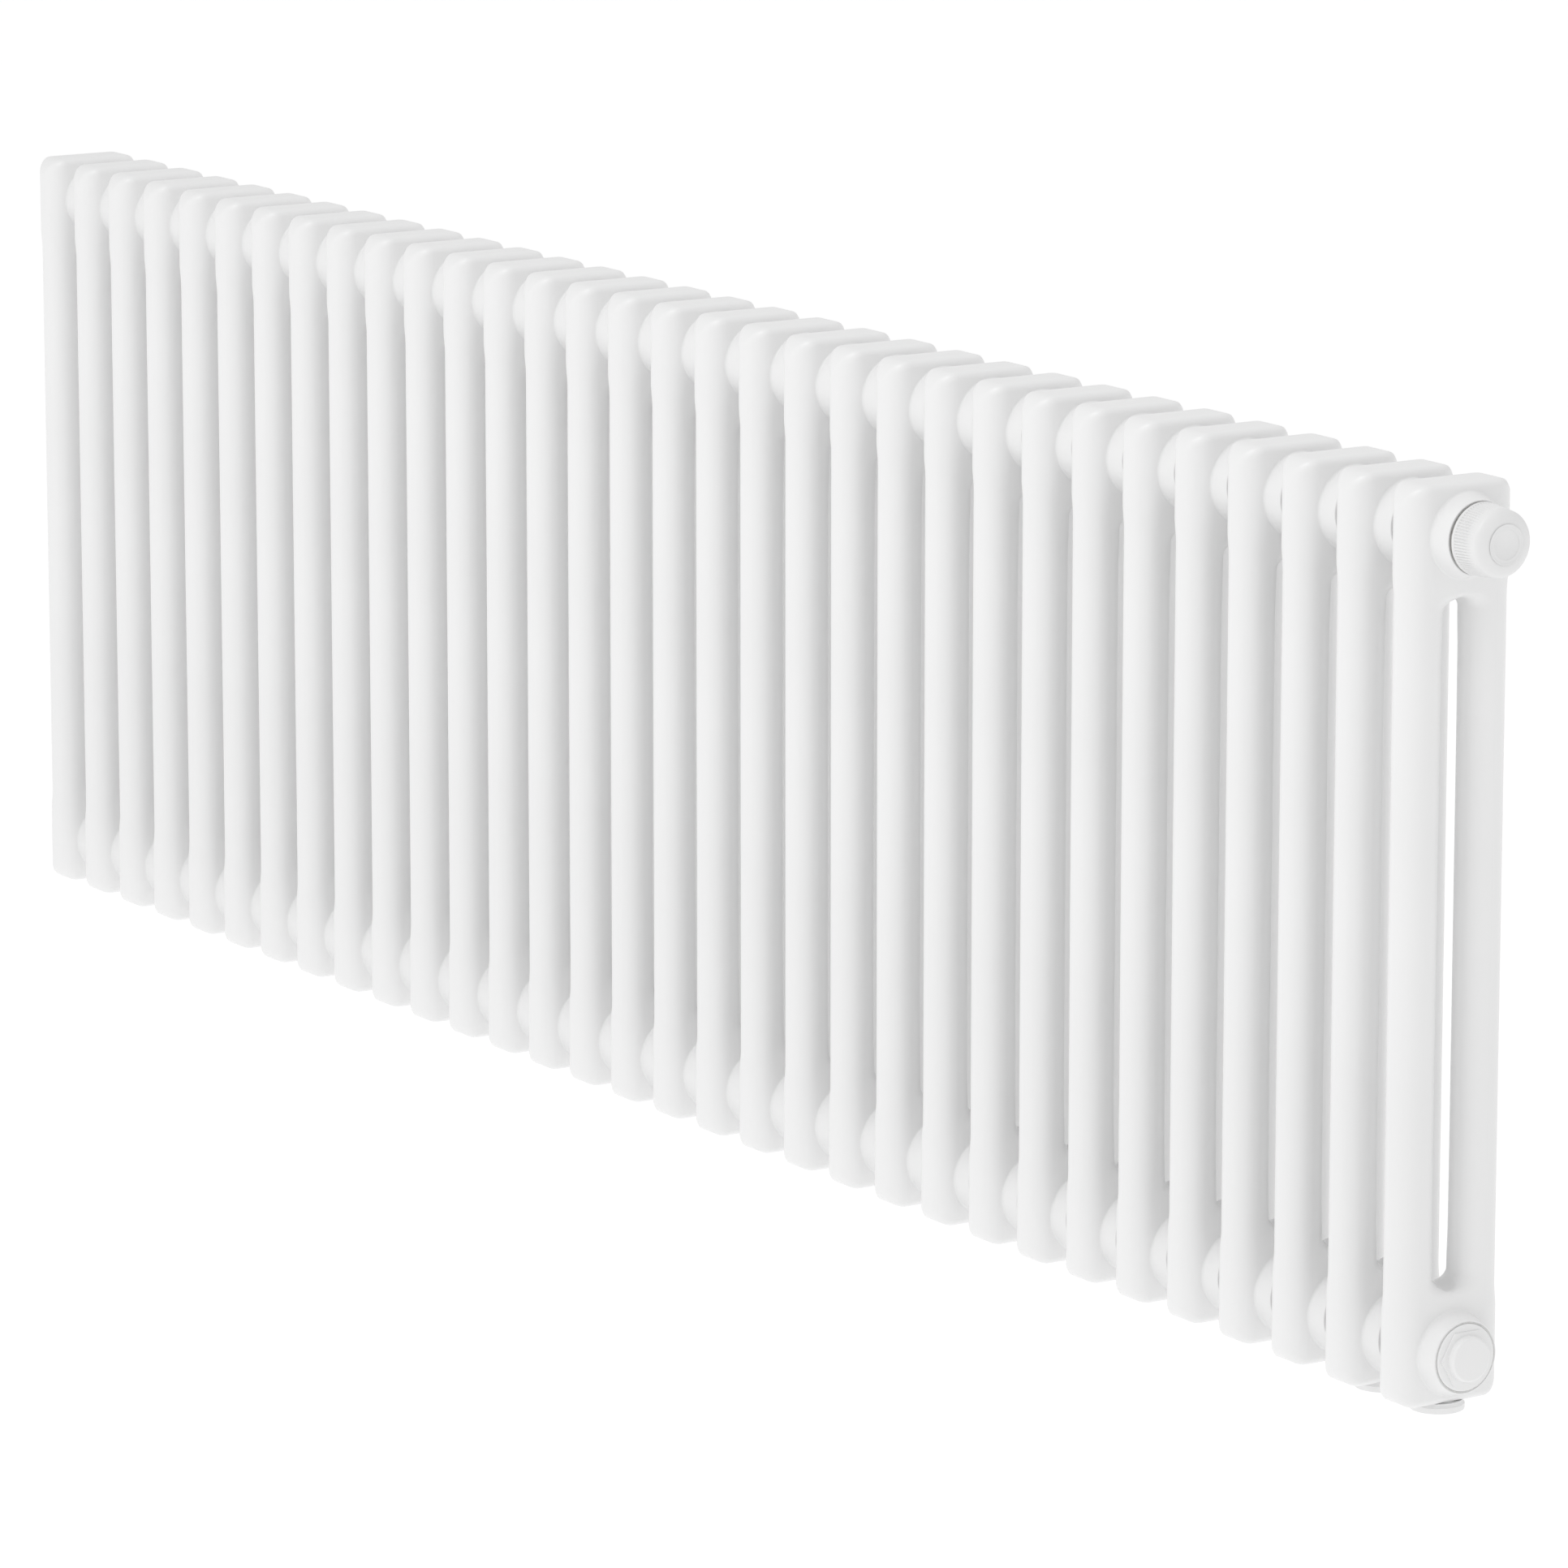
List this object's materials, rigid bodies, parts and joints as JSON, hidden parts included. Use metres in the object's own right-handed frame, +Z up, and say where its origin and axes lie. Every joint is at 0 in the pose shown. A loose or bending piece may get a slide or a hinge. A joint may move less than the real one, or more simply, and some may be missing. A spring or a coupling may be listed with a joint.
{
  "type": "radiator",
  "caption": "Two-column tubular radiator with a built-in valve and ribbed hand cap at the upper right end and bottom connections under that end.",
  "frame": {"origin": "middle of the row, half way between the front and rear tubes, at the height of the upper necks' underside, where wall brackets carry the radiator", "axes": "+X along the row towards the valve end, -Y towards the room (front), +Z up"},
  "size_m": [1.6356, 0.0694, 0.5055],
  "materials": {
    "white_lacquer": "semi-gloss stove lacquer",
    "weld_bead": "painted over weld bead",
    "fibre_gasket": "matt",
    "bare_steel": "bare",
    "valve_brass": "turned, nickel plated",
    "stainless": "turned",
    "seal_rubber": "matt",
    "cap_plastic": "fine satin"
  },
  "bodies": {
    "radiator": {"section_01": "white_lacquer", "section_02": "white_lacquer", "section_03": "white_lacquer", "section_04": "white_lacquer", "section_05": "white_lacquer", "section_06": "white_lacquer", "section_07": "white_lacquer", "section_08": "white_lacquer", "section_09": "white_lacquer", "section_10": "white_lacquer", "section_11": "white_lacquer", "section_12": "white_lacquer", "section_13": "white_lacquer", "section_14": "white_lacquer", "section_15": "white_lacquer", "section_16": "white_lacquer", "section_17": "white_lacquer", "section_18": "white_lacquer", "section_19": "white_lacquer", "section_20": "white_lacquer", "section_21": "white_lacquer", "section_22": "white_lacquer", "section_23": "white_lacquer", "section_24": "white_lacquer", "section_25": "white_lacquer", "section_26": "white_lacquer", "section_27": "white_lacquer", "section_28": "white_lacquer", "section_29": "white_lacquer", "section_30": "white_lacquer", "section_31": "white_lacquer", "section_32": "white_lacquer", "weld_rings_top": "weld_bead", "weld_rings_bottom": "weld_bead", "supply_nipple": "white_lacquer", "return_nipple": "white_lacquer", "flow_baffle": "bare_steel", "plug_bottom_right": "white_lacquer", "plug_bottom_right_gasket": "fibre_gasket", "plug_bottom_left": "white_lacquer", "plug_bottom_left_gasket": "fibre_gasket", "vent_plug": "white_lacquer", "vent_plug_gasket": "fibre_gasket", "valve_insert_body": "valve_brass", "valve_insert_gasket": "fibre_gasket", "valve_seat_ring": "valve_brass", "valve_nose_seal": "seal_rubber", "valve_gland": "valve_brass", "valve_gland_seal": "seal_rubber", "valve_return_spring": "stainless"},
    "valve_stem": {"valve_spindle": "stainless", "valve_disc": "seal_rubber", "valve_disc_screw": "stainless"},
    "cap": {"hand_cap": "cap_plastic"},
    "bleeder": {"bleed_screw": "stainless"}
  },
  "joints": [
    {"name": "spindle_slide", "type": "slide", "parent": "radiator", "child": "valve_stem", "axis": [1, 0, 0], "range_m": [-0.0015, 0], "deforming": ["valve_return_spring"]},
    {"name": "cap_turn", "type": "hinge", "parent": "valve_stem", "child": "cap", "pos_m": [0.8, 0, 0.0205], "axis": [1, 0, 0], "range_deg": [-360, 0]},
    {"name": "bleed_turn", "type": "hinge", "parent": "radiator", "child": "bleeder", "pos_m": [-0.81, 0, 0.0205], "axis": [1, 0, 0], "range_deg": [-360, 0]}
  ],
  "couplings": [
    {"joint": "spindle_slide", "follows": "cap_turn", "m_per_rad": 0.00023873}
  ]
}
